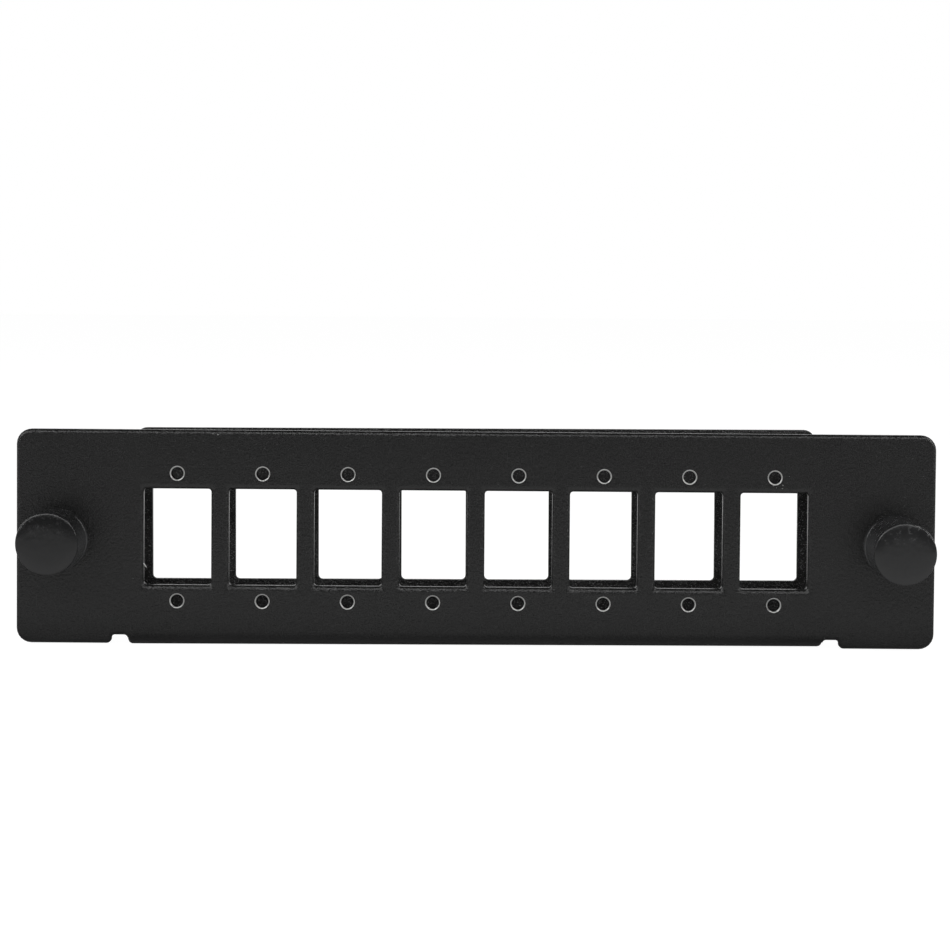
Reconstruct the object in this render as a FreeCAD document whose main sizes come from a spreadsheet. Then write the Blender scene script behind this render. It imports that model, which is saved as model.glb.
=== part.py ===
# Fibre adapter plate: a punched steel sheet folded into a channel, with eight adapter
# openings in each wall, tapped holes for the adapters' screws, and two push-pull plungers
# in split grommets that hold the plate to a panel.
# Frame: X to the right, Y from the front face to the back, Z up. The origin is the centre
# of the front face. Lengths are millimetres, angles are degrees.
import FreeCAD, Part
import math
import os
import Sketcher

Vector = FreeCAD.Vector

SIZES = {
    # front plate
    "plate_height": 30.2,
    "sheet_thickness": 1.2,
    "plate_corner": 2.1,
    "tab_width": 13.35,
    # fold behind the front plate
    "fold_margin": 1.0,
    "channel_depth": 10.0,
    "bend_inside": 0.8,
    "fold_drop": 0.1,
    "fold_skew": 0.2,
    "rear_corner": 1.5,
    # relief notches beside the fold
    "notch_width": 2.3,
    "notch_depth": 1.2,
    "notch_corner": 0.5,
    "tab_corner": 0.65,
    # adapter openings
    "opening_count": 8,
    "opening_pitch": 12.0,
    "opening_width": 9.5,
    "opening_height": 13.6,
    "opening_corner": 0.5,
    "edge_roll": 0.3,
    # tapped holes above and below each opening
    "screw_margin": 2.2,
    "screw_bore": 1.7,
    "screw_chamfer": 0.3,
    # plungers in the end tabs
    "latch_inset": 5.75,
    "latch_drop": 0.45,
    "grommet_clearance": 0.1,
    "flange_diameter": 8.8,
    "flange_thickness": 1.1,
    "flange_edge": 0.3,
    "barrel_diameter": 6.0,
    "barrel_length": 3.0,
    "finger_diameter": 6.9,
    "finger_flat": 0.6,
    "finger_ramp": 1.2,
    "finger_tip_diameter": 5.4,
    "finger_end": 6.4,
    "slit_width": 0.9,
    "slit_start": 1.9,
    "pin_diameter": 3.7,
    "pin_clearance": 0.05,
    "knob_diameter": 8.7,
    "knob_reach": 7.3,
    "knob_edge": 0.4,
    "knob_gap": 0.1,
    "pull_travel": 4.2,
    "collar_diameter": 4.5,
    "collar_length": 0.5,
    "collar_taper": 0.8,
    "collar_tip_diameter": 2.8,
}

# Lengths that follow from the sizes
FOLD_LENGTH = "( opening_pitch * opening_count + 2 * fold_margin )"
PLATE_WIDTH = f"( {FOLD_LENGTH} + 2 * notch_width + 2 * tab_width )"
LATCH_PLACE = f"( {PLATE_WIDTH} / 2 - latch_inset )"
SCREW_HEIGHT = "( opening_height / 2 + screw_margin )"
FIRST_OPENING = "( -1 * opening_pitch * ( opening_count - 1 ) / 2 )"
ROW_LENGTH = "opening_pitch * ( opening_count - 1 )"
FOLD_FOOT = "-1 * plate_height / 2 - fold_drop"

doc = FreeCAD.newDocument("AdapterPlate")
sheet = doc.addObject("Spreadsheet::Sheet", "Sizes")
for row, (alias, value) in enumerate(SIZES.items(), start=1):
    sheet.set(f"A{row}", alias)
    sheet.set(f"B{row}", str(value))
    sheet.setAlias(f"B{row}", alias)
doc.recompute()


def size(alias):
    """The number that the sheet holds now."""
    return float(sheet.get(alias))


def new_body(label):
    body = doc.addObject("PartDesign::Body", label)
    body.Label = label
    return body


def new_sketch(body, name, plane):
    """A sketch on one of the body's own origin planes, such as XZ_Plane."""
    sketch = body.newObject("Sketcher::SketchObject", name)
    origin_plane = next(item for item in body.Origin.OriginFeatures if item.Role == plane)
    sketch.AttachmentSupport = [(origin_plane, "")]
    sketch.MapMode = "FlatFace"
    return sketch


def bind(sketch, constraint, formula):
    """Adds a constraint and ties its value to a formula of the sheet's sizes."""
    index = sketch.addConstraint(constraint)
    sketch.setExpression(f"Constraints[{index}]", formula)


def in_sheet(formula):
    """Writes Sizes. before each size that a formula names."""
    words = formula.replace("(", " ( ").replace(")", " ) ").split()
    return " ".join(f"Sizes.{word}" if word in SIZES else word for word in words)


def value_of(formula):
    """The number that a formula of sizes gives now."""
    return float(sheet.evalExpression(in_sheet(formula).replace("Sizes.", "")))


def hold_point(sketch, line, formula_x, formula_y):
    """Places the start of a line by two formulas, each measured from the origin."""
    for kind, formula in (("DistanceX", formula_x), ("DistanceY", formula_y)):
        number = value_of(formula)
        if number < 0:
            bind(sketch, Sketcher.Constraint(kind, line, 1, -1, 1, -number), in_sheet(f"-1 * ( {formula} )"))
        else:
            bind(sketch, Sketcher.Constraint(kind, -1, 1, line, 1, number), in_sheet(formula))


def closed_outline(sketch, corners):
    """A closed outline of straight lines; each corner is a pair of formulas."""
    points = [Vector(value_of(x), value_of(y), 0) for x, y in corners]
    lines = []
    for here, there in zip(points, points[1:] + points[:1]):
        lines.append(sketch.addGeometry(Part.LineSegment(here, there), False))
    for line, following in zip(lines, lines[1:] + lines[:1]):
        sketch.addConstraint(Sketcher.Constraint("Coincident", line, 2, following, 1))
    for line, (x, y) in zip(lines, corners):
        hold_point(sketch, line, x, y)


def finish(feature):
    """Recomputes and stops if the new feature failed."""
    doc.recompute()
    if "Invalid" in feature.State or "Error" in feature.State:
        raise RuntimeError(f"{feature.Label} failed: {feature.State}")
    return feature


def edge_names(shape, wanted):
    """Names of the edges of a shape that a test picks out."""
    return [f"Edge{number}" for number, edge in enumerate(shape.Edges, start=1) if wanted(edge)]


def dress(body, kind, name, base, wanted, setting, formula):
    """A fillet or chamfer on the picked edges, its size tied to the sheet."""
    names = edge_names(base.Shape, wanted)
    if not names:
        raise RuntimeError(f"{name} found no edge")
    feature = body.newObject(kind, name)
    feature.Base = (base, names)
    feature.setExpression(setting, formula)
    return finish(feature)


def runs_along(edge, axis):
    """True for a straight edge that runs along an axis, a small skew allowed."""
    start, end = edge.Vertexes[0].Point, edge.Vertexes[-1].Point
    chord = end - start
    straight = chord.Length > 0.01 and abs(chord.Length - edge.Length) < 0.001
    return straight and abs(chord.normalize().dot(axis)) > 0.999


def on_front(edge):
    """True for an edge that lies in the plate's front face."""
    return edge.BoundBox.YLength < 0.01 and abs(edge.CenterOfMass.y) < 0.01


def middle_is(edge, **places):
    """True where the middle of an edge has the given x, y or z."""
    middle = edge.CenterOfMass
    return all(abs(getattr(middle, name) - place) < NEAR for name, place in places.items())


ALONG_X, ALONG_Y = Vector(1, 0, 0), Vector(0, 1, 0)
NEAR = 0.3  # how far from its nominal place an edge may lie and still be picked
SEAM = 0.05  # how far the front sheet stops short of the fold's ends


# The folded sheet
def add_fold(body):
    """The web and the rear wall, bent back from a strip of the front plate."""
    sketch = new_sketch(body, "fold_section", "YZ_Plane")
    sketch.AttachmentOffset = FreeCAD.Placement(Vector(), FreeCAD.Rotation(Vector(-1, 0, 0), size("fold_skew")))
    sketch.setExpression("AttachmentOffset.Rotation.Angle", "Sizes.fold_skew")
    sketch.setExpression("AttachmentOffset.Base.y", in_sheet(FOLD_FOOT))
    strip_top = "bend_inside + sheet_thickness + 1"
    closed_outline(sketch, [
        ("0", strip_top),
        ("0", "0"),
        ("channel_depth", "0"),
        ("channel_depth", "plate_height"),
        ("channel_depth - sheet_thickness", "plate_height"),
        ("channel_depth - sheet_thickness", "sheet_thickness"),
        ("sheet_thickness", "sheet_thickness"),
        ("sheet_thickness", strip_top),
    ])
    fold = body.newObject("PartDesign::Pad", "fold")
    fold.Profile = sketch
    fold.Midplane = True
    fold.setExpression("Length", in_sheet(FOLD_LENGTH))
    finish(fold)

    bottom = value_of(FOLD_FOOT)
    top = bottom + size("plate_height")
    back, gauge = size("channel_depth"), size("sheet_thickness")

    def outer(edge):
        at_corner = middle_is(edge, y=0, z=bottom) or middle_is(edge, y=back, z=bottom)
        return runs_along(edge, ALONG_X) and at_corner

    def inner(edge):
        floor = bottom + gauge
        at_corner = middle_is(edge, y=gauge, z=floor) or middle_is(edge, y=back - gauge, z=floor)
        return runs_along(edge, ALONG_X) and at_corner

    def rear_corner(edge):
        return runs_along(edge, ALONG_Y) and middle_is(edge, z=top, y=back - gauge / 2)

    bend = dress(body, "PartDesign::Fillet", "bend_outside", fold, outer, "Radius",
                 "Sizes.bend_inside + Sizes.sheet_thickness")
    bend = dress(body, "PartDesign::Fillet", "bend_inside", bend, inner, "Radius", "Sizes.bend_inside")
    return dress(body, "PartDesign::Fillet", "rear_corners", bend, rear_corner, "Radius", "Sizes.rear_corner")


def add_front(body):
    """The front plate with its end tabs, from the relief notches outwards and up."""
    sketch = new_sketch(body, "front_outline", "XZ_Plane")
    side, foot = f"{PLATE_WIDTH} / 2", "-1 * plate_height / 2"
    tab, seam = f"{FOLD_LENGTH} / 2 + notch_width", f"{FOLD_LENGTH} / 2 - {SEAM}"
    notch_top = "-1 * plate_height / 2 + notch_depth"
    strip = f"{FOLD_FOOT} + bend_inside + sheet_thickness + 0.5"
    right = [
        (seam, strip), (seam, notch_top), (tab, notch_top), (tab, foot), (side, foot), (side, "plate_height / 2"),
    ]
    left = [(f"-1 * ( {x} )", z) for x, z in reversed(right)]
    closed_outline(sketch, right + left)
    front = body.newObject("PartDesign::Pad", "front_plate")
    front.Profile = sketch
    front.Reversed = True
    front.setExpression("Length", "Sizes.sheet_thickness")
    finish(front)

    half_width, half_height = value_of(PLATE_WIDTH) / 2, size("plate_height") / 2
    tab_edge = value_of(FOLD_LENGTH) / 2 + size("notch_width")
    notch_roof = -half_height + size("notch_depth")

    def plate_corner(edge):
        middle = edge.CenterOfMass
        return (runs_along(edge, ALONG_Y) and abs(abs(middle.x) - half_width) < NEAR
                and abs(abs(middle.z) - half_height) < NEAR)

    def tab_corner(edge):
        middle = edge.CenterOfMass
        return (runs_along(edge, ALONG_Y) and abs(abs(middle.x) - tab_edge) < NEAR
                and abs(middle.z + half_height) < NEAR)

    def notch_corner(edge):
        middle = edge.CenterOfMass
        return (runs_along(edge, ALONG_Y) and abs(abs(middle.x) - tab_edge) < NEAR
                and abs(middle.z - notch_roof) < NEAR)

    def rolled_edge(edge):
        middle = edge.CenterOfMass
        return on_front(edge) and (abs(middle.x) > tab_edge + NEAR or middle.z > half_height - NEAR)

    plate = dress(body, "PartDesign::Fillet", "plate_corners", front, plate_corner, "Radius",
                  "Sizes.plate_corner")
    plate = dress(body, "PartDesign::Chamfer", "outline_edges", plate, rolled_edge, "Size", "Sizes.edge_roll")
    plate = dress(body, "PartDesign::Fillet", "tab_corners", plate, tab_corner, "Radius", "Sizes.tab_corner")
    return dress(body, "PartDesign::Fillet", "notch_corners", plate, notch_corner, "Radius",
                 "Sizes.notch_corner")


def rounded_opening(sketch, centre_z):
    """One adapter opening, a rectangle with small round corners, in the first place of its row."""
    cx, cz = value_of(FIRST_OPENING), value_of(centre_z)
    half_w, half_h, radius = size("opening_width") / 2, size("opening_height") / 2, size("opening_corner")
    flat_w, flat_h = half_w - radius, half_h - radius
    sides = []
    for start, end in (
        ((-flat_w, -half_h), (flat_w, -half_h)),
        ((half_w, -flat_h), (half_w, flat_h)),
        ((flat_w, half_h), (-flat_w, half_h)),
        ((-half_w, flat_h), (-half_w, -flat_h)),
    ):
        ends = [Vector(cx + x, cz + z, 0) for x, z in (start, end)]
        sides.append(sketch.addGeometry(Part.LineSegment(*ends), False))
    turns = []
    quarter = math.pi / 2
    for number, (x, z) in enumerate(((flat_w, -flat_h), (flat_w, flat_h), (-flat_w, flat_h), (-flat_w, -flat_h))):
        circle = Part.Circle(Vector(cx + x, cz + z, 0), Vector(0, 0, 1), radius)
        begin = (number - 1) * quarter
        turns.append(sketch.addGeometry(Part.ArcOfCircle(circle, begin, begin + quarter), False))
    for number, turn in enumerate(turns):
        sketch.addConstraint(Sketcher.Constraint("Tangent", sides[number], 2, turn, 1))
        sketch.addConstraint(Sketcher.Constraint("Tangent", turn, 2, sides[(number + 1) % 4], 1))
    for kind, pair in (("Horizontal", sides[0::2]), ("Vertical", sides[1::2])):
        for line in pair:
            sketch.addConstraint(Sketcher.Constraint(kind, line))
    for turn in turns[1:]:
        sketch.addConstraint(Sketcher.Constraint("Equal", turns[0], turn))
    bind(sketch, Sketcher.Constraint("Radius", turns[0], radius), "Sizes.opening_corner")
    bind(sketch, Sketcher.Constraint("DistanceX", sides[3], 1, sides[1], 1, 2 * half_w), "Sizes.opening_width")
    bind(sketch, Sketcher.Constraint("DistanceY", sides[0], 1, sides[2], 1, 2 * half_h), "Sizes.opening_height")
    bind(sketch, Sketcher.Constraint("DistanceX", sides[3], 1, -1, 1, half_w - cx),
         in_sheet(f"opening_width / 2 - {FIRST_OPENING}"))
    bind(sketch, Sketcher.Constraint("DistanceY", sides[0], 1, -1, 1, half_h - cz),
         in_sheet(f"opening_height / 2 - ( {centre_z} )"))


def cut(body, name, sketch, formula):
    """Cuts a sketch towards +Y and makes sure that metal went."""
    before = body.Tip.Shape.Volume
    pocket = body.newObject("PartDesign::Pocket", name)
    pocket.Profile = sketch
    pocket.setExpression("Length", in_sheet(formula))
    finish(pocket)
    if pocket.Shape.Volume > before - 0.1:
        raise RuntimeError(f"{name} cut nothing")
    return pocket


def row_of(body, name, sketch, originals):
    """Repeats cuts along the row of openings."""
    pattern = body.newObject("PartDesign::LinearPattern", name)
    pattern.Originals = originals
    pattern.Direction = (sketch, ["H_Axis"])
    pattern.setExpression("Length", in_sheet(ROW_LENGTH))
    pattern.setExpression("Occurrences", "Sizes.opening_count")
    body.Tip = pattern
    return finish(pattern)


def circle_at(sketch, formula_x, formula_z, formula_diameter):
    """A full circle placed and sized by formulas."""
    x, z, diameter = value_of(formula_x), value_of(formula_z), value_of(formula_diameter)
    ring = sketch.addGeometry(Part.Circle(Vector(x, z, 0), Vector(0, 0, 1), diameter / 2), False)
    bind(sketch, Sketcher.Constraint("Diameter", ring, diameter), in_sheet(formula_diameter))
    for kind, formula, number in (("DistanceX", formula_x, x), ("DistanceY", formula_z, z)):
        if number < 0:
            bind(sketch, Sketcher.Constraint(kind, ring, 3, -1, 1, -number), in_sheet(f"-1 * ( {formula} )"))
        else:
            bind(sketch, Sketcher.Constraint(kind, -1, 1, ring, 3, number), in_sheet(formula))


def add_openings(body):
    """Eight openings in each wall, and the tapped holes and plunger holes of the front."""
    mouth = new_sketch(body, "front_opening_outline", "XZ_Plane")
    rounded_opening(mouth, "0")
    front = cut(body, "front_opening", mouth, "channel_depth / 2")

    taps = new_sketch(body, "screw_centres", "XZ_Plane")
    for height in (SCREW_HEIGHT, f"-1 * {SCREW_HEIGHT}"):
        circle_at(taps, FIRST_OPENING, height, "screw_bore")
    screws = cut(body, "screw_bores", taps, "channel_depth / 2")
    row_of(body, "front_row", mouth, [front, screws])

    latches = new_sketch(body, "latch_centres", "XZ_Plane")
    for side in (f"-1 * {LATCH_PLACE}", LATCH_PLACE):
        circle_at(latches, side, "-1 * latch_drop", "barrel_diameter + 2 * grommet_clearance")
    cut(body, "latch_holes", latches, "channel_depth / 2")

    rear = new_sketch(body, "rear_opening_outline", "XZ_Plane")
    rear.AttachmentOffset = FreeCAD.Placement(Vector(), FreeCAD.Rotation(Vector(0, 0, 1), size("fold_skew")))
    rear.setExpression("AttachmentOffset.Rotation.Angle", "Sizes.fold_skew")
    rear.setExpression("AttachmentOffset.Base.y", in_sheet(FOLD_FOOT))
    rear.setExpression("AttachmentOffset.Base.z", "-Sizes.channel_depth / 2")
    rounded_opening(rear, "plate_height / 2")
    back = cut(body, "rear_opening", rear, "channel_depth")
    return row_of(body, "rear_row", rear, [back])


def add_edges(body, plate):
    """Countersinks at the tapped holes, and the edges that punching rolls over on the front."""
    half_span = size("opening_pitch") * size("opening_count") / 2
    half_opening = size("opening_height") / 2
    tap_radius = size("screw_bore") / 2

    def tap_rim(edge):
        curve = edge.Curve
        return isinstance(curve, Part.Circle) and abs(curve.Radius - tap_radius) < 0.01 and middle_is(edge, y=0)

    def opening_rim(edge):
        middle = edge.CenterOfMass
        return on_front(edge) and abs(middle.x) < half_span and abs(middle.z) < half_opening + NEAR


    plate = dress(body, "PartDesign::Chamfer", "screw_countersinks", plate, tap_rim, "Size", "Sizes.screw_chamfer")
    return dress(body, "PartDesign::Chamfer", "opening_edges", plate, opening_rim, "Size", "Sizes.edge_roll")


def make_adapter_plate():
    body = new_body("adapter_plate")
    add_fold(body)
    add_front(body)
    plate = add_openings(body)
    add_edges(body, plate)
    return body


# Plungers and their grommets, drawn about the Y axis and then set in the tabs
def turned(body, name, corners):
    """A body of revolution about Y; each corner is a radius and a place along Y."""
    sketch = new_sketch(body, f"{name}_section", "XY_Plane")
    closed_outline(sketch, corners)
    spun = body.newObject("PartDesign::Revolution", name)
    spun.Profile = sketch
    spun.ReferenceAxis = (sketch, ["V_Axis"])
    spun.Angle = 360
    return finish(spun)


def set_in_tab(body, side):
    """Puts a grommet or plunger on its tab's hole, left or right."""
    body.setExpression("Placement.Base.x", in_sheet(f"{side} * {LATCH_PLACE}"))
    body.setExpression("Placement.Base.z", "-Sizes.latch_drop")


def make_grommet(label, side):
    body = new_body(label)
    bore = "pin_diameter / 2 + pin_clearance"
    turned(body, f"{label}_turning", [
        (bore, "-1 * flange_thickness"),
        ("flange_diameter / 2 - flange_edge", "-1 * flange_thickness"),
        ("flange_diameter / 2", "-1 * flange_thickness + flange_edge"),
        ("flange_diameter / 2", "0"),
        ("barrel_diameter / 2", "0"),
        ("barrel_diameter / 2", "barrel_length"),
        ("finger_diameter / 2", "barrel_length + finger_ramp"),
        ("finger_diameter / 2", "barrel_length + finger_ramp + finger_flat"),
        ("finger_tip_diameter / 2", "finger_end"),
        (bore, "finger_end"),
    ])
    slits = new_sketch(body, f"{label}_slit_outline", "XZ_Plane")
    slits.setExpression("AttachmentOffset.Base.z", "-Sizes.slit_start")
    half, reach = "slit_width / 2", "finger_diameter"
    quarter = [(reach, f"-1 * {half}"), (reach, half), (half, half)]
    cross = []
    for _ in range(4):
        cross += quarter
        quarter = [(turned_back(z), x) for x, z in quarter]
    closed_outline(slits, cross)
    cut(body, f"{label}_slits", slits, "finger_end")
    set_in_tab(body, side)
    return body


def turned_back(formula):
    """The same formula with its sign changed."""
    return formula[len("-1 * "):] if formula.startswith("-1 * ") else f"-1 * {formula}"


def make_plunger(label, side):
    body = new_body(label)
    collar_start = "finger_end + pull_travel + knob_gap"
    turned(body, f"{label}_turning", [
        ("0", "-1 * knob_reach"),
        ("knob_diameter / 2 - knob_edge", "-1 * knob_reach"),
        ("knob_diameter / 2", "-1 * knob_reach + knob_edge"),
        ("knob_diameter / 2", "-1 * flange_thickness - knob_gap"),
        ("pin_diameter / 2", "-1 * flange_thickness - knob_gap"),
        ("pin_diameter / 2", collar_start),
        ("collar_diameter / 2", collar_start),
        ("collar_diameter / 2", f"{collar_start} + collar_length"),
        ("collar_tip_diameter / 2", f"{collar_start} + collar_length + collar_taper"),
        ("0", f"{collar_start} + collar_length + collar_taper"),
    ])
    set_in_tab(body, side)
    return body


parts = [make_adapter_plate()]
for name, side in (("left", -1), ("right", 1)):
    parts.append(make_grommet(f"{name}_grommet", side))
    parts.append(make_plunger(f"{name}_plunger", side))
doc.recompute()

for item in doc.Objects:
    if "Invalid" in item.State or "Error" in item.State:
        raise RuntimeError(f"{item.Label} failed: {item.State}")
os.makedirs("parts", exist_ok=True)
for part in parts:
    shape = part.Shape
    if shape.isNull() or not shape.isValid() or len(shape.Solids) != 1:
        raise RuntimeError(f"{part.Label} is not one valid solid")
    shape.exportStep(f"parts/{part.Label}.step")
    box = shape.BoundBox
    print(part.Label, "volume", round(shape.Volume, 1), "x", round(box.XMin, 2), round(box.XMax, 2),
          "y", round(box.YMin, 2), round(box.YMax, 2), "z", round(box.ZMin, 2), round(box.ZMax, 2))
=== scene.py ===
# %% [markdown]
# # A fibre adapter plate
# The real object is a black powder-coated steel sheet. It is punched flat, folded into a
# shallow channel, and held to a panel by two nylon push-pull plungers. Everything here is
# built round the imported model, so the first step loads it and keeps its box.

import math

import bmesh
import bpy
from mathutils import Matrix, Vector


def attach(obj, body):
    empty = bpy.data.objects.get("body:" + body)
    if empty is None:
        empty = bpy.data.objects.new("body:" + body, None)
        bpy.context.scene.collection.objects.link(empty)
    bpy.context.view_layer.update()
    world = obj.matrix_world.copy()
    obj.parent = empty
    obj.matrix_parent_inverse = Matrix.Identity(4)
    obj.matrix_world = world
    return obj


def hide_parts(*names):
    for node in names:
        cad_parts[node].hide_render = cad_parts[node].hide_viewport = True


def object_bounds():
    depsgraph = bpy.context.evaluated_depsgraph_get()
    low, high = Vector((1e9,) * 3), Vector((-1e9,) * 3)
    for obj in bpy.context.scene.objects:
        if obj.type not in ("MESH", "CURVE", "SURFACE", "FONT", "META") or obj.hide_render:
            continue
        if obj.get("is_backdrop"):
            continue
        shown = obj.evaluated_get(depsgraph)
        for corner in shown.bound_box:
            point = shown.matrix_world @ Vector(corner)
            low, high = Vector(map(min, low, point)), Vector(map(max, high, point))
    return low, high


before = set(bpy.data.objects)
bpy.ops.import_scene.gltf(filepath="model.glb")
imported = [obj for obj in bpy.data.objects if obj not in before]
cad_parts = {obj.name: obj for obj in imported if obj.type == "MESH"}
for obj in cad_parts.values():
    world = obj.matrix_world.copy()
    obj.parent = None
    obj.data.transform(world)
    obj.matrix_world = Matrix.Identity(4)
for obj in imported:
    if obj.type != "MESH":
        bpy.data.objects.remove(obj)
cad_low, cad_high = (Vector(corner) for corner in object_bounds())
print("nodes:", sorted(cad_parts))

# %% [markdown]
# ## The sheet's sizes
# Sheets are designed in millimetres, so the meshes are built in millimetres too and scaled
# to metres at the end. X runs along the row of openings, Z is up, and Y is the depth behind
# the front face.

# %% Sizes of the sheet, in millimetres
GAUGE = 1.2                                   # thickness of the sheet
PLATE_HEIGHT = 30.2
PLATE_CORNER, TAB_CORNER, NOTCH_CORNER, REAR_CORNER = 2.1, 0.65, 0.5, 1.5
TAB_WIDTH, NOTCH_WIDTH, NOTCH_DEPTH = 13.35, 2.3, 1.2
PITCH, COUNT = 12.0, 8                        # the row of openings
OPENING_WIDTH, OPENING_HEIGHT, OPENING_CORNER = 9.5, 13.6, 0.5
REAR_NARROWER, REAR_ROUNDER = 0.22, 0.2       # how the rear wall's openings differ
SCREW_HEIGHT, BORE_RADIUS, LIP = 9.0, 0.87, 0.18   # the tapped holes and their rounded lips
LATCH_INSET, LATCH_DROP, LATCH_HOLE = 5.75, 0.45, 3.1
CHANNEL_DEPTH, BEND_OUTSIDE = 10.0, 2.0
FOLD_DROP, FOLD_SKEW = 0.1, math.radians(0.2)
FOLD_SPARE = 2.0                              # the fold is this much longer than the row
FOLD_HALF = (PITCH * COUNT + FOLD_SPARE) / 2
PLATE_HALF = FOLD_HALF + NOTCH_WIDTH + TAB_WIDTH
ROW = [(number - (COUNT - 1) / 2) * PITCH for number in range(COUNT)]
print("plate", 2 * PLATE_HALF, "x", PLATE_HEIGHT, "mm; openings at", ROW)

# %% [markdown]
# ## A blank, before it is folded
# A press folds a flat blank. The blank is easier to model than the folded part, because
# every hole is then a face in one plane. The part below the fold line becomes the web and
# the rear wall. The fold runs very slightly askew on the real part, so the lower part of the
# blank is drawn in its own turned axes, measured from the foot of the fold.

# %% Places on the blank
NEUTRAL = BEND_OUTSIDE - GAUGE / 2            # the radius whose length doesn't change
BEND_LENGTH = NEUTRAL * math.pi / 2
FIRST_BEND = BEND_OUTSIDE                     # heights above the foot, along the blank
WEB = FIRST_BEND - BEND_LENGTH
SECOND_BEND = WEB - (CHANNEL_DEPTH - 2 * BEND_OUTSIDE)
REAR_WALL = SECOND_BEND - BEND_LENGTH
BLANK_END = REAR_WALL - (PLATE_HEIGHT - BEND_OUTSIDE)
REAR_MIDDLE = REAR_WALL - (PLATE_HEIGHT / 2 - BEND_OUTSIDE)
FOOT = Vector((0, 0, -PLATE_HEIGHT / 2 - FOLD_DROP))
ALONG_FOLD = Vector((math.cos(FOLD_SKEW), 0, math.sin(FOLD_SKEW)))
UP_FOLD = Vector((-math.sin(FOLD_SKEW), 0, math.cos(FOLD_SKEW)))


def on_strip(across, up):
    """A point of the blank, from its place along and above the fold's foot."""
    return FOOT + across * ALONG_FOLD + up * UP_FOLD


print("the blank reaches from", round(PLATE_HEIGHT / 2, 2),
      "down to", round(on_strip(0, BLANK_END).z, 2))

# %% [markdown]
# ## Punched edges
# A punch pulls the skin of the sheet over before it cuts, and the coating softens that edge
# further. So an edge on the outer side is a long shallow curve, and on the inner side it is
# nearly square. Insetting a face step by step, a little in and a little down each time,
# draws such a curve all the way round a hole. At an opening the face is scaled instead, which
# keeps its corners as tight outside as they are inside.

# %% Rolled edges
ROLL_ALONG, ROLL_DEEP, ROLL_STEPS = 0.8, 0.5, 8   # at the openings
OUTLINE_ALONG = 0.62                          # less at the outline, whose corners are tighter
BURR = 0.1                                    # the small break on the inner side
LATCH_BREAK = 0.2                             # the break in front of a latch's hole
CORNER_SEGMENTS, LIP_STEPS, BORE_SEGMENTS, LATCH_SEGMENTS = 6, 5, 40, 48


def rolled(along, deep, steps):
    """Offset from the edge and depth below the face, from the face down to the wall."""
    turns = [math.pi / 2 * number / steps for number in range(steps + 1)]
    return [(along * (1 - math.sin(turn)), deep * (1 - math.cos(turn))) for turn in turns]


def step_face(sheet, face, profile, sign):
    """Insets a face along a profile of offsets and depths; sign 1 sinks it, -1 raises it."""
    for (offset, depth), (next_offset, next_depth) in zip(profile, profile[1:]):
        bmesh.ops.inset_individual(
            sheet, faces=[face], thickness=abs(offset - next_offset),
            depth=-sign * abs(depth - next_depth), use_even_offset=True)


def facing(side, across=0.0, up=0.0, depth=0.0):
    """The matrix that stands a flat shape up, facing the front (-1) or the back (1)."""
    turn = Matrix.Rotation(-side * math.pi / 2, 4, "X")
    return Matrix.Translation((across, depth, up)) @ turn


def new_face(sheet, make):
    """Runs a maker and gives back the one face that it added."""
    before = set(sheet.faces)
    make()
    added = [face for face in sheet.faces if face not in before]
    assert len(added) == 1, f"{len(added)} faces were added"
    return added[0]


def whole(mesh):
    """Everything in a mesh, as an operator takes it."""
    return mesh.verts[:] + mesh.edges[:] + mesh.faces[:]


ROLL = rolled(ROLL_ALONG, ROLL_DEEP, ROLL_STEPS)
BREAK = [(BURR, 0), (0, BURR)]
print("a rolled edge in", ROLL_STEPS, "steps:", [(round(o, 3), round(d, 3)) for o, d in ROLL])

# %% [markdown]
# ## Openings and holes
# Each opening is a rounded face on both sides of the sheet. Both are sunk to the wall, their
# last faces are taken away, and the two rims are bridged.


# %% Openings, bores and their walls
def rounded_face(sheet, width, height, radius, matrix):
    """A rectangle with rounded corners, stood up by a matrix."""
    def make():
        grid = bmesh.ops.create_grid(sheet, x_segments=1, y_segments=1, size=1.0, matrix=Matrix())
        corners = grid["verts"]
        bmesh.ops.scale(sheet, vec=(width / 2, height / 2, 1), verts=corners)
        bmesh.ops.transform(sheet, matrix=matrix, verts=corners)
        bmesh.ops.bevel(sheet, geom=corners, offset=radius, offset_type="OFFSET", affect="VERTICES",
                        segments=CORNER_SEGMENTS, profile=0.5, material=-1, clamp_overlap=True)
    return new_face(sheet, make)


def round_face(sheet, radius, matrix, segments):
    return new_face(sheet, lambda: bmesh.ops.create_circle(
        sheet, cap_ends=True, segments=segments, radius=radius, matrix=matrix))


def open_wall(sheet, front, back):
    """Takes two facing faces away and bridges their rims."""
    rims = list(front.edges) + list(back.edges)
    bmesh.ops.delete(sheet, geom=[front, back], context="FACES_ONLY")
    bmesh.ops.bridge_loops(sheet, edges=rims)


def punch_opening(sheet, turn, across, corner):
    """One adapter opening, placed by a matrix that acts on the blank's plane."""
    faces = []
    for side, profile in ((-1, ROLL), (1, BREAK)):
        sizes = [(across + 2 * offset, OPENING_HEIGHT + 2 * offset, depth)
                 for offset, depth in profile]
        face = rounded_face(sheet, sizes[0][0], sizes[0][1], corner,
                            turn @ facing(side, depth=0 if side < 0 else GAUGE))
        for (width, height, depth), (next_width, next_height, next_depth) in zip(sizes, sizes[1:]):
            bmesh.ops.inset_individual(sheet, faces=[face], thickness=0, depth=depth - next_depth)
            bmesh.ops.scale(sheet, vec=(next_width / width, 1, next_height / height),
                            verts=face.verts, space=Matrix.Translation(-face.calc_center_median()))
        faces.append(face)
    open_wall(sheet, *faces)


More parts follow.
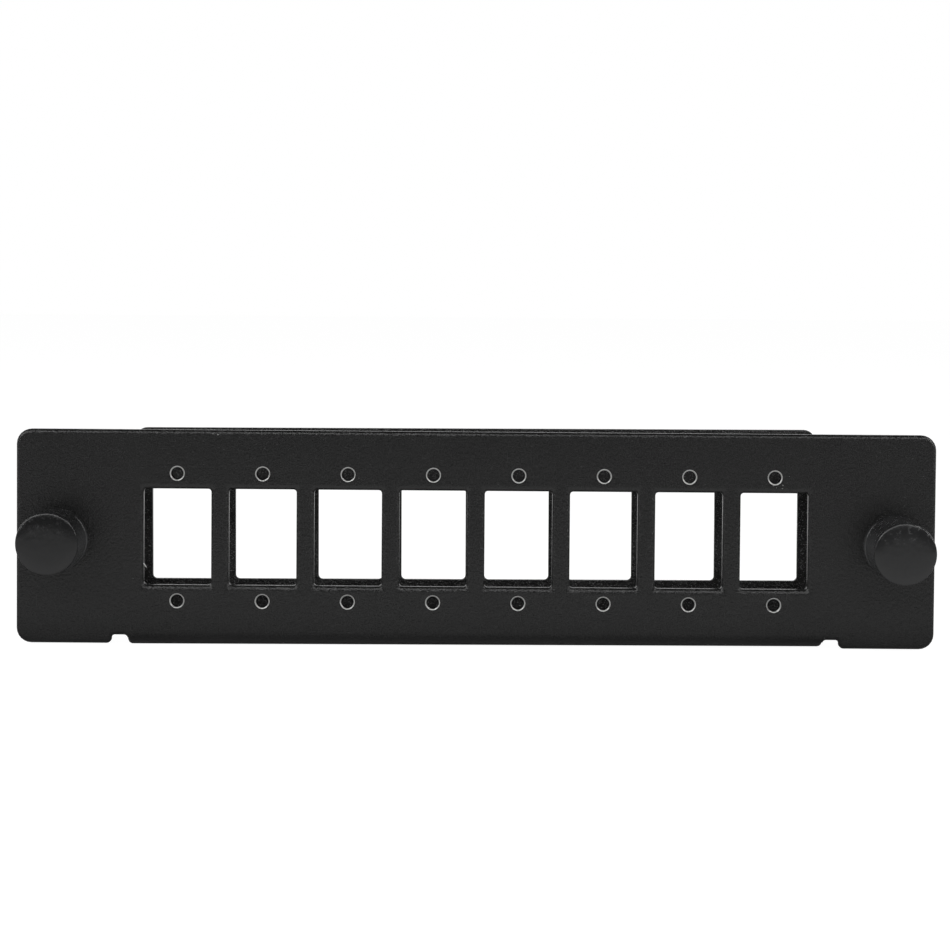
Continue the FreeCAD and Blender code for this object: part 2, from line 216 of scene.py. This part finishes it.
def punch_round(sheet, across, up, radius, front_profile, segments):
    """One round hole, with its own profile in front and a small break behind."""
    faces = []
    for side, profile in ((-1, front_profile), (1, BREAK)):
        depth = 0 if side < 0 else GAUGE
        face = round_face(sheet, radius + profile[0][0], facing(side, across, up, depth), segments)
        step_face(sheet, face, profile, 1)
        faces.append(face)
    open_wall(sheet, *faces)


# %% [markdown]
# ## The outline
# The outline is one face of a few corners, and each group of corners is rounded by a vertex
# bevel of its own radius. Raising it by insets gives the rolled edge round the whole blank.


# %% The outline of the blank
def outline_face(sheet, side, depth):
    """The blank's outline as one face, front (-1) or back (1), at a depth."""
    top, foot = PLATE_HEIGHT / 2, -PLATE_HEIGHT / 2
    tab, roof = FOLD_HALF + NOTCH_WIDTH, foot + NOTCH_DEPTH
    half = [Vector((x, 0, z)) for x, z in (
        (PLATE_HALF, top), (PLATE_HALF, foot), (tab, foot), (tab, roof), (FOLD_HALF, roof))]
    right = half + [on_strip(FOLD_HALF, BLANK_END)]
    left = [on_strip(-FOLD_HALF, BLANK_END)]
    left += [Vector((-point.x, 0, point.z)) for point in reversed(half)]
    corners = right + left
    rounds = ((PLATE_CORNER, corners[0:2] + corners[-2:]), (TAB_CORNER, [corners[2], corners[-3]]),
              (NOTCH_CORNER, [corners[3], corners[4], corners[-5], corners[-4]]),
              (REAR_CORNER, [corners[5], corners[6]]))

    def make():
        verts = [sheet.verts.new(point + Vector((0, depth, 0))) for point in corners]
        sheet.faces.new(verts if side > 0 else list(reversed(verts)))
        for radius, places in rounds:
            picked = [vert for vert in verts if vert.is_valid and any(
                abs(vert.co.x - place.x) + abs(vert.co.z - place.z) < 0.001 for place in places)]
            bmesh.ops.bevel(sheet, geom=picked, offset=radius, offset_type="OFFSET",
                            affect="VERTICES", segments=CORNER_SEGMENTS, profile=0.5, material=-1,
                            clamp_overlap=True)
    face = new_face(sheet, make)
    if face.normal.y * side < 0:
        face.normal_flip()
    return face


def rims_at(sheet, depth):
    """The open edges that lie at one depth of the sheet."""
    return [line for line in sheet.edges if line.is_boundary
            and all(abs(vert.co.y - depth) < 1e-4 for vert in line.verts)]


def cut_blank():
    """The flat blank with its openings, holes and edges, as a closed mesh in millimetres."""
    sheet = bmesh.new()
    strip = Matrix.Translation(on_strip(0, REAR_MIDDLE)) @ Matrix.Rotation(-FOLD_SKEW, 4, "Y")
    for across in ROW:
        punch_opening(sheet, Matrix.Translation((across, 0, 0)), OPENING_WIDTH, OPENING_CORNER)
        punch_opening(sheet, strip @ Matrix.Translation((across, 0, 0)),
                      OPENING_WIDTH - REAR_NARROWER, OPENING_CORNER + REAR_ROUNDER)
        for up in (SCREW_HEIGHT, -SCREW_HEIGHT):
            punch_round(sheet, across, up, BORE_RADIUS, rolled(LIP, LIP, LIP_STEPS), BORE_SEGMENTS)
    for side in (-1, 1):
        punch_round(sheet, side * (PLATE_HALF - LATCH_INSET), -LATCH_DROP, LATCH_HOLE,
                    [(LATCH_BREAK, 0), (0, LATCH_BREAK)], LATCH_SEGMENTS)

    edge = rolled(OUTLINE_ALONG, ROLL_DEEP, ROLL_STEPS)
    front = outline_face(sheet, -1, ROLL_DEEP)
    back = outline_face(sheet, 1, GAUGE - BURR)
    step_face(sheet, front, edge[::-1], -1)
    step_face(sheet, back, [(0, 0), (BURR, BURR)], -1)
    bmesh.ops.delete(sheet, geom=[front, back], context="FACES_ONLY")
    bmesh.ops.bridge_loops(sheet, edges=rims_at(sheet, ROLL_DEEP) + rims_at(sheet, GAUGE - BURR))
    for depth in (0, GAUGE):
        bmesh.ops.triangle_fill(sheet, use_beauty=True, edges=rims_at(sheet, depth))
    bmesh.ops.recalc_face_normals(sheet, faces=sheet.faces)
    return sheet


blank = cut_blank()
print("blank:", len(blank.faces), "faces,",
      sum(not line.is_manifold for line in blank.edges), "open edges")

# %% [markdown]
# ## Folding
# The blank is cut across at every line of the two bends, and then each point is carried to
# its place on the bend. The distance from the outer skin stays the same, so the sheet keeps
# its thickness, as it does in the press.

# %% The two bends
BEND_CUTS = 8


def folded(point):
    """Where a point of the blank ends up."""
    across, up, skin = (point - FOOT).dot(ALONG_FOLD), (point - FOOT).dot(UP_FOLD), point.y
    if up >= FIRST_BEND or abs(across) > FOLD_HALF + 0.01:
        return point
    radius = BEND_OUTSIDE - skin
    if up > WEB:
        turn = (FIRST_BEND - up) / NEUTRAL
        depth = BEND_OUTSIDE - radius * math.cos(turn)
        height = BEND_OUTSIDE - radius * math.sin(turn)
    elif up > SECOND_BEND:
        depth, height = BEND_OUTSIDE + WEB - up, skin
    elif up > REAR_WALL:
        turn = (SECOND_BEND - up) / NEUTRAL
        depth = CHANNEL_DEPTH - BEND_OUTSIDE + radius * math.sin(turn)
        height = BEND_OUTSIDE - radius * math.cos(turn)
    else:
        depth, height = CHANNEL_DEPTH - skin, BEND_OUTSIDE + REAR_WALL - up
    return on_strip(across, height) + Vector((0, depth, 0))


def fold(sheet):
    """Cuts the blank across its bends and carries each point to its folded place."""
    for start in (FIRST_BEND, SECOND_BEND):
        for number in range(BEND_CUTS + 1):
            place = on_strip(0, start - BEND_LENGTH * number / BEND_CUTS)
            bmesh.ops.bisect_plane(sheet, geom=whole(sheet), dist=1e-5,
                                   plane_co=place, plane_no=UP_FOLD)
    for vert in sheet.verts:
        vert.co = folded(vert.co)
    bmesh.ops.recalc_face_normals(sheet, faces=sheet.faces)


fold(blank)
low = [min(vert.co[axis] for vert in blank.verts) for axis in range(3)]
high = [max(vert.co[axis] for vert in blank.verts) for axis in range(3)]
print("folded sheet from", [round(x, 2) for x in low], "to", [round(x, 2) for x in high], "mm")

# %% [markdown]
# ## Shader maths in Python's own signs
# A finish is a small program of shader nodes. One class wraps a socket, so that +, - and *
# add Math nodes, and one method of a finish adds any other node: its settings come first,
# and then the numbers or links of its sockets.


# %% A signal and a finish
class Signal:
    """A shader socket that takes part in sums."""

    def __init__(self, finish, socket):
        self.finish, self.socket = finish, socket

    def maths(self, operation, *values):
        return self.finish.node("ShaderNodeMath", {"operation": operation}, dict(enumerate(values)))

    def __add__(self, other):
        return self.maths("ADD", self, other)

    __radd__ = __add__

    def __mul__(self, other):
        return self.maths("MULTIPLY", self, other)

    __rmul__ = __mul__

    def __sub__(self, other):
        return self.maths("SUBTRACT", self, other)

    def __rsub__(self, other):
        return self.maths("SUBTRACT", other, self)


class Finish:
    """The shader nodes of a material or a world."""

    def __init__(self, owner):
        self.owner = owner
        owner.use_nodes = True
        self.tree = owner.node_tree
        self.tree.nodes.clear()

    def node(self, kind, settings=None, sockets=None, output=0):
        made = self.tree.nodes.new(kind)
        for name, value in (settings or {}).items():
            if name == "stops":
                made_stops = made.color_ramp.elements
                for place, (position, level) in enumerate(value):
                    stop = made_stops[place] if place < 2 else made_stops.new(position)
                    stop.position, stop.color = position, (level, level, level, 1)
            else:
                setattr(made, name, value)
        for name, value in (sockets or {}).items():
            if isinstance(value, Signal):
                self.tree.links.new(value.socket, made.inputs[name])
            else:
                made.inputs[name].default_value = value
        return Signal(self, made.outputs[output]) if made.outputs else None

    def noise(self, place, size, detail=2.0, roughness=0.5):
        """Noise whose lumps are about size millimetres across."""
        return self.node("ShaderNodeTexNoise", None, {
            "Vector": place, "Scale": 1000 / size, "Detail": detail, "Roughness": roughness})

    def part(self, vector, axis):
        return self.node("ShaderNodeSeparateXYZ", None, {"Vector": vector}, output=axis)

    def ramp(self, value, stops):
        """Levels by stops of position and level, between 0 and 1 in 256 steps."""
        return self.node("ShaderNodeValToRGB", {"stops": stops}, {"Fac": value})

    def shade(self, level, dark, light):
        """A colour between two, by a level from 0 to 1."""
        return self.node("ShaderNodeMix", {"data_type": "RGBA"},
                         {"Factor": level, 6: (*dark, 1), 7: (*light, 1)}, output=2)

    def place(self):
        return self.node("ShaderNodeTexCoord", output="Object")

    def surface(self, **sockets):
        """The Principled shader and the output; underscores in names stand for spaces."""
        named = {name.replace("_", " "): value for name, value in sockets.items()}
        shader = self.node("ShaderNodeBsdfPrincipled", None, named)
        self.node("ShaderNodeOutputMaterial", None, {"Surface": shader})
        return self.owner


print("a finish is made of", Finish.node.__name__, "calls")

# %% [markdown]
# ## Powder coat
# Powder coat is sprayed dry and baked, so it flows a little and sets as orange peel: soft
# lumps about half a millimetre across, with finer grain on top. Where the grain would glint,
# pale specks are painted into the colour: a painted glint. Otherwise the colour is nearly
# black, and the shape of the surface does the rest. Inside the channel the spray arrives
# thinly, and the coat there is gritty, with more and paler painted glints.


# %% The coat on the sheet
PEEL, GRAIN, CLOUD = 0.42, 0.17, 9.0          # sizes of the coat's lumps, in millimetres
BLACK = (0.0004, 0.0004, 0.0004)


def powder_coat(name, grit):
    """The coat, with a share of grit from 0 to 1."""
    coat = Finish(bpy.data.materials.new(name))
    place = coat.place()
    peel = coat.noise(place, PEEL, 2.0, 0.6)
    grain = coat.noise(place, GRAIN, 1.0, 0.5)
    cloud = coat.noise(place, CLOUD, 2.0)
    # Painted glints: pale specks on the peaks of the grain.
    painted_glints = coat.ramp(grain, [(0.66 - 0.06 * grit, 0.0), (0.74, 1.0)])
    bump = coat.node("ShaderNodeBump", None, {
        "Strength": 1.0, "Distance": 0.00013 + 0.0002 * grit, "Height": peel * 0.6 + grain * 0.4})
    # The gritty coat's paler tone mostly serves its painted glints.
    light = 0.0115 + 0.10 * grit
    mottle = coat.ramp(grain, [(0.36, 0.0), (0.64, 1.0)])
    tone = coat.shade(mottle * (1.0 - grit) + cloud * 0.2 + painted_glints * (0.5 + 0.5 * grit),
                      BLACK, (light, light, light))
    return coat.surface(Base_Color=tone, Roughness=0.19 + cloud * 0.06 + grain * 0.06, Normal=bump,
                        Specular_IOR_Level=0.35 - 0.1 * grit)


coat_finish = powder_coat("powder_coat", 0.0)
gritty_finish = powder_coat("gritty_powder_coat", 1.0)
print("finishes:", coat_finish.name, gritty_finish.name)

# %% [markdown]
# ## Nylon
# The plungers and grommets are moulded nylon. It is smoother than the coat, with soft flow
# marks from the mould. The sides of the knobs and grommets are painted paler low down, a
# painted light from below, and pale patches near the upper rims are partly scuffs and partly
# a painted highlight. A ramp has 256 steps between 0 and 1, so a place in metres is enlarged
# before it goes into one.


# %% The moulded nylon
ENLARGED = 100
FLOW, NYLON_GRAIN, SCUFF_SHEEN = 1.5, 0.2, 0.8      # sizes of the nylon's marks, in millimetres


def black_nylon(name, scuff_sheen_share, paleness):
    """Nylon with a share of scuffs and painted sheen, and a paleness added to all its colour."""
    nylon = Finish(bpy.data.materials.new(name))
    place = nylon.place()
    flow = nylon.noise(place, FLOW, 2.0)
    grain = nylon.noise(place, NYLON_GRAIN, 2.0)
    upper = nylon.ramp(nylon.part(place, "Z") * ENLARGED + 0.1, [(0.08, 0.0), (0.34, 1.0)])
    side = nylon.ramp((nylon.part(place, "Y") + 0.0100) * ENLARGED, [(0.31, 0.0), (0.36, 1.0)])
    # Pale patches near the upper rims: partly real scuffs and partly a painted highlight.
    scuff_sheen_patches = nylon.ramp(nylon.noise(place, SCUFF_SHEEN, 4.0, 0.7), [(0.52, 0.0), (0.68, 1.0)])
    scuff_sheen_mask = scuff_sheen_patches * upper * scuff_sheen_share
    bump = nylon.node("ShaderNodeBump", None, {
        "Strength": 1.0, "Distance": 0.00009, "Height": flow * 0.5 + grain * 0.07})
    # Painted light from below: the sides of knobs and grommets are painted paler low down.
    sides_painted_light = side * (0.02 + (1 - upper) * 0.85)
    tone = nylon.shade(paleness + flow * 0.06 + scuff_sheen_mask * 0.7 + sides_painted_light,
                       (0.0010, 0.0011, 0.0012), (0.060, 0.0605, 0.062))
    return nylon.surface(Base_Color=tone, Roughness=0.17 + flow * 0.10 + scuff_sheen_mask * 0.15, Normal=bump,
                         Specular_IOR_Level=0.37)


nylon_finish = black_nylon("black_nylon", 0.5, 0.07)
scuffed_finish = black_nylon("scuffed_nylon", 0.9, 0.15)
print("finishes:", nylon_finish.name, scuffed_finish.name)

# %% [markdown]
# ## Bare steel
# The small holes are tapped after the coating is baked, so the tap and the countersink leave
# bright steel.


# %% The cut steel of the threads
def cut_steel(name, light):
    """Cut steel, as bright as its light tone."""
    steel = Finish(bpy.data.materials.new(name))
    place = steel.place()
    marks = steel.noise(place, 0.25, 3.0, 0.65)
    bump = steel.node("ShaderNodeBump", None, {
        "Strength": 1.0, "Distance": 0.00001, "Height": marks})
    tone = steel.shade(marks, (light * 0.45, light * 0.45, light * 0.44),
                       (light, light, light * 0.985))
    return steel.surface(Base_Color=tone, Metallic=1.0, Roughness=0.28 + marks * 0.2, Normal=bump)


steel_finish = cut_steel("cut_steel", 0.62)
dull_finish = cut_steel("dull_steel", 0.20)
print("finishes:", steel_finish.name, dull_finish.name)

# %% [markdown]
# ## From a mesh to a piece
# Each finished mesh is scaled to metres, shaded smooth with its sharp edges kept, and set to
# ride on the body of the model that carries it. The sheet has three finishes: bare steel lies
# on the lips of the tapped holes, and the gritty coat lies inside the channel.


# %% Making a piece
SHARP = math.radians(34)
BARE, GRITTY = 1, 2                           # places in the sheet's list of finishes
INSIDE, WEB_MARGIN = 0.05, 0.2                # how near the walls and the web the grit starts


def to_piece(mesh, name, body, finishes, replaced=()):
    """A finished piece from a mesh in millimetres, riding on a body of the model."""
    bmesh.ops.scale(mesh, vec=(0.001, 0.001, 0.001), verts=mesh.verts)
    data = bpy.data.meshes.new(name)
    gaps = sum(not line.is_manifold for line in mesh.edges)
    mesh.to_mesh(data)
    mesh.free()
    data.shade_smooth()
    data.set_sharp_from_angle(angle=SHARP)
    for finish in finishes:
        data.materials.append(finish)
    piece = bpy.data.objects.new(name, data)
    bpy.context.scene.collection.objects.link(piece)
    weights = piece.modifiers.new("weighted_normals", "WEIGHTED_NORMAL")
    weights.keep_sharp = True
    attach(piece, body)
    if replaced:
        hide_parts(*replaced)
    print(name, "has", len(data.polygons), "faces and", gaps, "open edges")
    return piece


for face in blank.faces:
    middle = face.calc_center_median()
    nearest = min(math.hypot(middle.x - across, abs(middle.z) - SCREW_HEIGHT) for across in ROW)
    if nearest < BORE_RADIUS + LIP and 0.001 < middle.y < LIP:
        face.material_index = BARE
    elif (GAUGE + INSIDE < middle.y < CHANNEL_DEPTH - GAUGE + INSIDE
          and middle.z > cad_low.z * 1000 + GAUGE - WEB_MARGIN):
        face.material_index = GRITTY
to_piece(blank, "adapter_plate_sheet", "panel",
         [coat_finish, steel_finish, gritty_finish], ["adapter_plate"])

# %% [markdown]
# ## Threads
# A thread is a small triangle spun round the hole while it moves along the axis. Sixteen
# holes share one piece. Only the lips are bare, and the turns inside are dark.

# %% Threads in the tapped holes
THREAD_PITCH, THREAD_TURNS, THREAD_STEPS = 0.4, 1.9, 48
THREAD_START, THREAD_HALF, THREAD_RISE, THREAD_SUNK = 0.34, 0.12, 0.05, 0.01


def tap(mesh, across, up):
    """The turns of thread in one hole."""
    foot, crest = BORE_RADIUS + THREAD_SUNK, BORE_RADIUS - THREAD_RISE
    profile = ((foot, -THREAD_HALF), (crest, 0.0), (foot, THREAD_HALF))
    corners = [mesh.verts.new((across + radius, THREAD_START + along, up))
               for radius, along in profile]
    bmesh.ops.spin(mesh, geom=[mesh.faces.new(corners)], cent=(across, 0, up), axis=(0, 1, 0),
                   angle=2 * math.pi * THREAD_TURNS, steps=THREAD_STEPS,
                   dvec=(0, THREAD_PITCH * THREAD_TURNS / THREAD_STEPS, 0))


threads = bmesh.new()
for across in ROW:
    for up in (SCREW_HEIGHT, -SCREW_HEIGHT):
        tap(threads, across, up)
bmesh.ops.recalc_face_normals(threads, faces=threads.faces)
to_piece(threads, "screw_threads", "panel", [coat_finish])

# %% [markdown]
# ## Marks in the coat
# The coat on the real plate has a whisker that hangs into the first opening, some flecks under
# the last upper screw hole, and two lumps on the top edge. Each is a small ball or cone that
# is sunk into the surface. The whisker shines, and the rest is dull.

# %% Flecks, lumps and a whisker
FLECKS = ((41.75, 7.9, 0.11), (42.2, 7.6, 0.08), (43.1, 7.95, 0.12), (43.0, 7.5, 0.09),
          (44.0, 9.25, 0.06), (-37.0, 14.6, 0.13), (-36.3, 14.5, 0.16), (-48.2, -5.9, 0.05),
          (-41.1, -8.7, 0.05))                # across, up and size
WHISKER = ((-46.72, 0.16, -3.74), (-46.28, 0.12, -4.34), 0.085)


def add_fleck(mesh, across, up, size):
    shape = Matrix.Translation((across, 0, up)) @ Matrix.Diagonal((size, size * 0.5, size * 0.8, 1))
    bmesh.ops.create_icosphere(mesh, subdivisions=2, radius=1.0, matrix=shape)


def add_whisker(mesh, start, end, radius):
    way = Vector(end) - Vector(start)
    middle = Matrix.Translation((Vector(start) + Vector(end)) / 2)
    stand = middle @ way.to_track_quat("Z", "Y").to_matrix().to_4x4()
    bmesh.ops.create_cone(mesh, cap_ends=True, segments=12, radius1=radius, radius2=radius * 0.5,
                          depth=way.length, matrix=stand)


marks = bmesh.new()
add_whisker(marks, *WHISKER)
for face in marks.faces:
    face.material_index = 1
for fleck in FLECKS:
    add_fleck(marks, *fleck)
to_piece(marks, "coat_marks", "panel", [dull_finish, steel_finish])

# %% [markdown]
# ## Plungers
# A plunger is turned in one profile: knob, pin and collar. A moulded edge is never sharp, so
# the rim of the knob's face is rounded in the profile, and the knob's back and the collar are
# bevelled once the profile is spun about the Y axis. Both knobs have been pushed a little out
# of line by use, so their discs are slid along by a small lean.

# %% Plungers
KNOB_RADIUS, KNOB_FACE, KNOB_BACK = 4.35, -7.3, -1.2
PIN_RADIUS, COLLAR_RADIUS, TIP_RADIUS = 1.85, 2.25, 1.4
PIN_END, COLLAR_END, TIP = 10.7, 11.2, 12.0   # depths along the pin
DOME_STEPS, RIM_DEPTH, ROUND, ROUND_STEPS = 14, -6.9, 0.35, 8
BACK_ROUND, COLLAR_ROUND, FLANGE_ROUND = 0.2, 0.15, 0.32
TURN_STEPS = 96                               # steps of a full turn
LEAST = math.radians(17)                      # where the face passes into the rounded rim
LEANS = {"left": (0.028, -0.035), "right": (-0.028, 0.062)}   # across and up, for each depth


def dome(part):
    """Depth of the knob's face at a part of its radius."""
    return KNOB_FACE + (RIM_DEPTH - KNOB_FACE) * (0.4 * part ** 2 + 0.6 * part ** 6)


def rim(angle):
    """A point of the rounded rim, by the angle its surface has turned away from the face."""
    return (KNOB_RADIUS - ROUND + ROUND * math.sin(angle),
            dome(REACH) + ROUND * (math.cos(LEAST) - math.cos(angle)))


REACH = 1 - ROUND * (1 - math.sin(LEAST)) / KNOB_RADIUS
PARTS = [math.sqrt(step / DOME_STEPS) for step in range(DOME_STEPS + 1)]
FACE = [(KNOB_RADIUS * REACH * part, dome(REACH * part)) for part in PARTS]
RIM = [rim(LEAST + (math.pi / 2 - LEAST) * step / ROUND_STEPS)
       for step in range(1, ROUND_STEPS + 1)]
PLUNGER = FACE + RIM + [
    (KNOB_RADIUS, KNOB_BACK), (PIN_RADIUS, KNOB_BACK), (PIN_RADIUS, PIN_END),
    (COLLAR_RADIUS, PIN_END), (COLLAR_RADIUS, COLLAR_END), (TIP_RADIUS, TIP), (0, TIP)]


def spun(profile, closed, steps):
    """A profile of radius and depth, spun once round the Y axis."""
    mesh = bmesh.new()
    verts = [mesh.verts.new((radius, depth, 0)) for radius, depth in profile]
    pairs = zip(verts, verts[1:] + verts[:1]) if closed else zip(verts, verts[1:])
    lines = [mesh.edges.new(pair) for pair in pairs]
    bmesh.ops.spin(mesh, geom=verts + lines, cent=(0, 0, 0), axis=(0, 1, 0), angle=2 * math.pi,
                   steps=steps, use_merge=True)
    bmesh.ops.remove_doubles(mesh, verts=mesh.verts, dist=0.0001)
    bmesh.ops.recalc_face_normals(mesh, faces=mesh.faces)
    return mesh


def soften(mesh, radius, depth, size, segments):
    """Bevels the ring of edges at one radius and depth."""
    ring = [line for line in mesh.edges if all(
        abs(math.hypot(vert.co.x, vert.co.z) - radius) < 0.002 and abs(vert.co.y - depth) < 0.002
        for vert in line.verts)]
    bmesh.ops.bevel(mesh, geom=ring, offset=size, offset_type="OFFSET", affect="EDGES",
                    segments=segments, profile=0.5, material=-1)


def latch_centre(side):
    """The middle of the left (-1) or right (1) latch."""
    return (side * (PLATE_HALF - LATCH_INSET), 0, -LATCH_DROP)


for name, side, finish in (("left", -1, nylon_finish), ("right", 1, scuffed_finish)):
    plunger = spun(PLUNGER, False, TURN_STEPS)
    soften(plunger, KNOB_RADIUS, KNOB_BACK, BACK_ROUND, 3)
    soften(plunger, COLLAR_RADIUS, COLLAR_END, COLLAR_ROUND, 2)
    across, up = LEANS[name]
    for vert in plunger.verts:
        out = min(0, vert.co.y - KNOB_BACK)
        vert.co += Vector((across * out, 0, up * out))
    bmesh.ops.translate(plunger, vec=latch_centre(side), verts=plunger.verts)
    to_piece(plunger, f"{name}_plunger_moulding", f"{name}_latch", [finish],
             [f"{name}_plunger"])

# %% [markdown]
# ## Grommets
# A grommet is a flanged ring in front and four springy fingers behind. One finger is spun
# through a quarter turn, trimmed by two cuts for the slits, and then spun as copies.

# %% Grommets
BORE, FLANGE_RADIUS, FLANGE, BARREL_RADIUS = 1.9, 4.4, 1.1, 3.0
RING = [(BORE, -FLANGE), (FLANGE_RADIUS, -FLANGE), (FLANGE_RADIUS, 0), (BARREL_RADIUS, 0),
        (BARREL_RADIUS, 1.9), (BORE, 1.9)]
FINGER = [(BORE, 1.88), (BARREL_RADIUS, 1.88), (BARREL_RADIUS, 3.0), (3.45, 4.2), (3.45, 4.8),
          (2.7, 6.4), (BORE, 6.4)]
SLIT_HALF = 0.45


def fingers():
    """Four fingers in a mesh of their own."""
    mesh = bmesh.new()
    corners = [mesh.verts.new((radius, depth, 0)) for radius, depth in FINGER]
    bmesh.ops.spin(mesh, geom=[mesh.faces.new(corners)], cent=(0, 0, 0), axis=(0, -1, 0),
                   angle=math.pi / 2, steps=12)
    for axis in ((1, 0, 0), (0, 0, 1)):
        cut = bmesh.ops.bisect_plane(mesh, geom=whole(mesh), dist=1e-5, plane_no=axis,
                                     plane_co=Vector(axis) * SLIT_HALF, clear_inner=True)
        rim = [item for item in cut["geom_cut"] if isinstance(item, bmesh.types.BMEdge)]
        bmesh.ops.holes_fill(mesh, edges=rim)
    bmesh.ops.spin(mesh, geom=whole(mesh), cent=(0, 0, 0), axis=(0, 1, 0),
                   angle=1.5 * math.pi, steps=3, use_duplicate=True)
    return mesh


def join(mesh, other):
    """Adds another mesh to a mesh."""
    shared = bpy.data.meshes.new("shared")
    other.to_mesh(shared)
    other.free()
    mesh.from_mesh(shared)
    bpy.data.meshes.remove(shared)


for name, side in (("left", -1), ("right", 1)):
    grommet = spun(RING, True, TURN_STEPS)
    soften(grommet, FLANGE_RADIUS, -FLANGE, FLANGE_ROUND, 4)
    join(grommet, fingers())
    bmesh.ops.recalc_face_normals(grommet, faces=grommet.faces)
    bmesh.ops.translate(grommet, vec=latch_centre(side), verts=grommet.verts)
    to_piece(grommet, f"{name}_grommet_moulding", "panel", [nylon_finish],
             [f"{name}_grommet"])

# %% [markdown]
# ## Floor and background
# The photograph is cut out on white. The floor is a plain white plane that the camera sees
# nearly as white as the world behind it, and a part of its real shading is kept, so that the
# object still has its shadow.


# %% Floor and world
SHADING_KEPT, ROOM = 0.15, 0.205              # the floor's real shading, and the room's level
FLOOR_HALF = 3.0


def rays(finish):
    """Camera, glossy and transmission rays, as three signals."""
    return [finish.node("ShaderNodeLightPath", output=f"Is {name} Ray")
            for name in ("Camera", "Glossy", "Transmission")]


def white_floor(kept):
    """A floor that glows white to the camera and keeps a share of its real shading."""
    floor = Finish(bpy.data.materials.new("white_floor"))
    camera, glossy, through = rays(floor)
    depth = floor.part(floor.place(), "Y")
    front = floor.ramp(0 - depth, [
        (0.003, 0.0), (0.016, 0.90), (0.060, 0.66), (0.250, 0.34)])
    back = floor.ramp(depth, [(0.08, 0.0), (0.20, 1.0)])
    tone = floor.shade(camera, (0.45, 0.45, 0.45), (0.80, 0.80, 0.80))
    plain = floor.node("ShaderNodeBsdfDiffuse", None, {"Color": tone})
    glow = floor.node("ShaderNodeEmission", None, {"Color": (1, 1, 1, 1), "Strength": 1.16})
    share = (camera + through) * (1 - kept) + glossy * (front + back)
    both = floor.node("ShaderNodeMixShader", None, {0: share, 1: plain, 2: glow})
    floor.node("ShaderNodeOutputMaterial", None, {"Surface": both})
    return floor.owner


ground = bmesh.new()
bmesh.ops.create_grid(ground, x_segments=2, y_segments=2, size=FLOOR_HALF)
bmesh.ops.translate(ground, vec=(0, 0, cad_low.z), verts=ground.verts)
data = bpy.data.meshes.new("floor")
ground.to_mesh(data)
ground.free()
data.materials.append(white_floor(SHADING_KEPT))
floor = bpy.data.objects.new("floor", data)
bpy.context.scene.collection.objects.link(floor)
floor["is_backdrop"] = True


def studio_world(room):
    """White to the camera. To the object it is a white backdrop behind and a dim room."""
    sky = Finish(bpy.data.worlds.new("studio"))
    camera, glossy, through = rays(sky)
    way = sky.node("ShaderNodeTexCoord", output="Generated")
    behind = sky.ramp(sky.part(way, "Y"), [(0.05, 0.0), (0.35, 1.0)])
    low = sky.ramp(sky.part(way, "Z"), [(0.22, 1.0), (0.50, 0.0)])
    white = camera + through + glossy * behind * low
    dim = sky.ramp(sky.part(way, "Z"), [(0.02, room), (0.35, room * 0.15)])
    strength = white.maths("MAXIMUM", white, dim)
    backdrop = sky.node("ShaderNodeBackground", None, {
        "Color": (1, 1, 1, 1), "Strength": strength})
    sky.node("ShaderNodeOutputWorld", None, {"Surface": backdrop})
    return sky.owner


bpy.context.scene.world = studio_world(ROOM)
print("floor at", round(cad_low.z * 1000, 2), "mm")

# %% [markdown]
# ## Light
# The edges of the openings are bright along the bottom and the face is dark, so the main
# light is a wide one overhead, a little in front. Narrow panels at the sides draw the thin
# bright lines along the ends of the plate and the arcs on the rims of the knobs. The right
# one is the stronger, as the arcs show.


# %% Lamps
def lamp(name, place, width, height, power):
    """A rectangular lamp that looks at the middle of the plate."""
    data = bpy.data.lights.new(name, "AREA")
    data.shape, data.size, data.size_y, data.energy = "RECTANGLE", width, height, power
    light = bpy.data.objects.new(name, data)
    light.location = place
    light.rotation_euler = (-Vector(place)).to_track_quat("-Z", "Y").to_euler()
    bpy.context.scene.collection.objects.link(light)


lamp("overhead", (-0.15, -0.72, 0.60), 1.5, 0.26, 6.5)
lamp("left_side", (-0.6, -0.25, 0.42), 0.07, 0.6, 1.9)
lamp("right_side", (0.6, -0.25, 0.42), 0.07, 0.6, 2.5)
print("lamps:", [light.name for light in bpy.data.lights])

# %% [markdown]
# ## Camera
# The lens and the place were worked out from the corners of the openings in both walls: the
# camera stands about 300 mm in front and a little above, and looks slightly down.

# %% Camera
PAN, TILT, TWIST = math.radians(0.090), math.radians(90 - 1.949), math.radians(0.436)
lens = bpy.data.cameras.new("camera")
lens.sensor_width, lens.lens = 36.0, 81.13
lens.shift_x, lens.shift_y = 0.01542, -0.12448
camera = bpy.data.objects.new("camera", lens)
turn = (Matrix.Rotation(PAN, 4, "Z") @ Matrix.Rotation(TILT, 4, "X")
        @ Matrix.Rotation(TWIST, 4, "Z"))
camera.matrix_world = Matrix.Translation((-0.00188, -0.3, 0.0359)) @ turn
bpy.context.scene.collection.objects.link(camera)
bpy.context.scene.camera = camera
bpy.context.scene.view_settings.view_transform = "Standard"
print("camera at", [round(x, 4) for x in camera.location])
